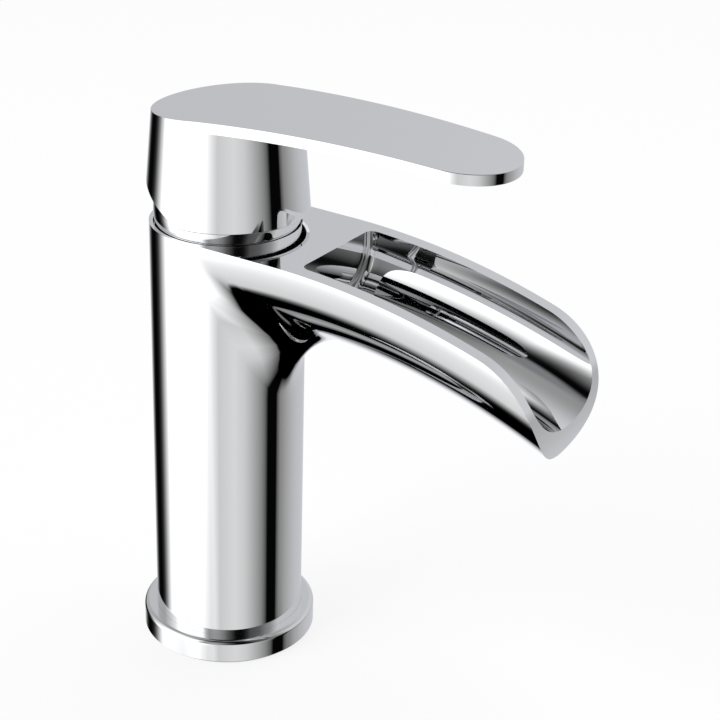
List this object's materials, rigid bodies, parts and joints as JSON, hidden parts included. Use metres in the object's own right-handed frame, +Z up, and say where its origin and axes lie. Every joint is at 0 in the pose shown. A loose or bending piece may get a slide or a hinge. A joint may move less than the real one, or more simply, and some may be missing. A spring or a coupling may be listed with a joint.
{
  "type": "waterfall basin faucet",
  "caption": "Single-lever basin mixer tap with a round pillar, an open trough spout and a flat arched lever, all in polished chrome.",
  "frame": {"origin": "centre of the base ring's underside, on the basin's surface", "axes": "+Z up along the pillar, +X along the spout towards its tip, +Y to the user's right when facing the spout"},
  "size_m": [0.141, 0.054, 0.175],
  "materials": {
    "polished_chrome": "polished mirror plating over cast brass",
    "raw_brass": "machined",
    "steel": "turned",
    "black_rubber": "matt",
    "white_plastic": "moulded",
    "blue_plastic": "moulded",
    "red_plastic": "moulded",
    "grey_plastic": "glossy",
    "ceramic": "lapped"
  },
  "bodies": {
    "tap": {"tap_body": "polished_chrome", "base_ring": "polished_chrome", "base_gasket": "black_rubber", "body_o_ring": "black_rubber", "cartridge_base": "white_plastic", "cartridge_housing": "white_plastic", "port_seals": "black_rubber", "disc_seals": "black_rubber", "fixed_ceramic_disc": "ceramic", "temperature_limit_ring": "red_plastic", "retaining_nut": "raw_brass", "dome_cover": "polished_chrome", "dome_o_ring": "black_rubber"},
    "rotor": {"cartridge_rotor": "blue_plastic", "rotor_glide_ring": "white_plastic", "spindle_pin": "steel"},
    "disc": {"moving_ceramic_disc": "ceramic", "disc_carrier": "blue_plastic"},
    "handle": {"lever_handle": "polished_chrome", "lever_spindle": "raw_brass", "handle_grub_screw": "steel", "indicator_plug": "grey_plastic"}
  },
  "joints": [
    {"name": "handle_turn", "type": "hinge", "parent": "tap", "child": "rotor", "pos_m": [0, 0, 0.141], "axis": [0, 0, 1], "range_deg": [-50, 50]},
    {"name": "handle_lift", "type": "hinge", "parent": "rotor", "child": "handle", "pos_m": [0, 0, 0.141], "axis": [0, -1, 0], "range_deg": [0, 25]},
    {"name": "disc_slide", "type": "slide", "parent": "rotor", "child": "disc", "axis": [1, 0, 0], "range_m": [0, 0.00325]}
  ],
  "couplings": [
    {"joint": "disc_slide", "follows": "handle_lift", "m_per_rad": 0.00736}
  ]
}
